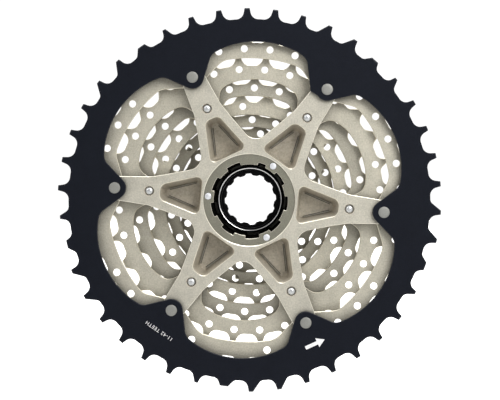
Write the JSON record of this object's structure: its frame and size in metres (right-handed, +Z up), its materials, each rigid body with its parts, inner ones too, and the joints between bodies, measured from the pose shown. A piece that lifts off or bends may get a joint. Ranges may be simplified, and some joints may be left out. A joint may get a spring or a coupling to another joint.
{
  "type": "cassette sprocket",
  "caption": "Stacked bicycle chain sprockets riveted to a six-armed splined spider, with loose small sprockets and a threaded lock ring.",
  "frame": {"origin": "on the axle line, in the plane of the spider's hub face that rests on the freehub's shoulder", "axes": "+Y along the axle, away from the wheel, towards the lock ring; -Y towards the spokes; +Z up; +X to the right when the spoke side is seen from behind"},
  "size_m": [0.1716, 0.0398, 0.1718],
  "materials": {
    "black_sprocket": "satin",
    "nickel_sprocket": "satin",
    "champagne_alloy": "satin",
    "rivet_steel": "satin",
    "washer_steel": "satin",
    "black_polymer": "matte",
    "lock_ring_black": "satin"
  },
  "bodies": {
    "cluster": {"sprocket_42t": "black_sprocket", "sprocket_37t": "nickel_sprocket", "sprocket_32t": "nickel_sprocket", "sprocket_28t": "nickel_sprocket", "sprocket_24t": "nickel_sprocket", "sprocket_21t": "nickel_sprocket", "sprocket_18t": "nickel_sprocket", "sprocket_15t": "nickel_sprocket", "spider": "champagne_alloy", "rivet_collar_1": "champagne_alloy", "rivet_collar_2": "champagne_alloy", "rivet_collar_3": "champagne_alloy", "rivet_collar_4": "champagne_alloy", "rivet_collar_5": "champagne_alloy", "rivet_collar_6": "champagne_alloy", "outer_rivet_1": "rivet_steel", "outer_rivet_2": "rivet_steel", "outer_rivet_3": "rivet_steel", "outer_rivet_4": "rivet_steel", "outer_rivet_5": "rivet_steel", "outer_rivet_6": "rivet_steel", "inner_rivet_1": "rivet_steel", "inner_rivet_2": "rivet_steel", "inner_rivet_3": "rivet_steel", "inner_rivet_4": "rivet_steel", "inner_rivet_5": "rivet_steel", "inner_rivet_6": "rivet_steel", "fixing_pin_1": "rivet_steel", "fixing_pin_2": "rivet_steel", "fixing_pin_3": "rivet_steel", "spacer_24_21": "black_polymer", "spacer_21_18": "black_polymer", "spacer_18_15": "black_polymer"},
    "second_sprocket": {"sprocket_13t": "nickel_sprocket"},
    "smallest_sprocket": {"sprocket_11t": "nickel_sprocket"},
    "ring_washer": {"lock_ring_washer": "washer_steel"},
    "ring": {"lock_ring": "lock_ring_black"}
  },
  "joints": [
    {"name": "second_sprocket_slide", "type": "slide", "parent": "cluster", "child": "second_sprocket", "axis": [0, 1, 0], "range_m": [0, 0.01]},
    {"name": "smallest_sprocket_slide", "type": "slide", "parent": "second_sprocket", "child": "smallest_sprocket", "axis": [0, 1, 0], "range_m": [0, 0.01]},
    {"name": "lock_ring_travel", "type": "slide", "parent": "smallest_sprocket", "child": "ring_washer", "axis": [0, 1, 0], "range_m": [0, 0.00687]},
    {"name": "lock_ring_turn", "type": "hinge", "parent": "ring_washer", "child": "ring", "pos_m": [0, 0.03, 0], "axis": [0, 1, 0], "range_deg": [0, 2340]}
  ],
  "couplings": [
    {"joint": "lock_ring_turn", "follows": "lock_ring_travel", "rad_per_m": 5936.9}
  ]
}
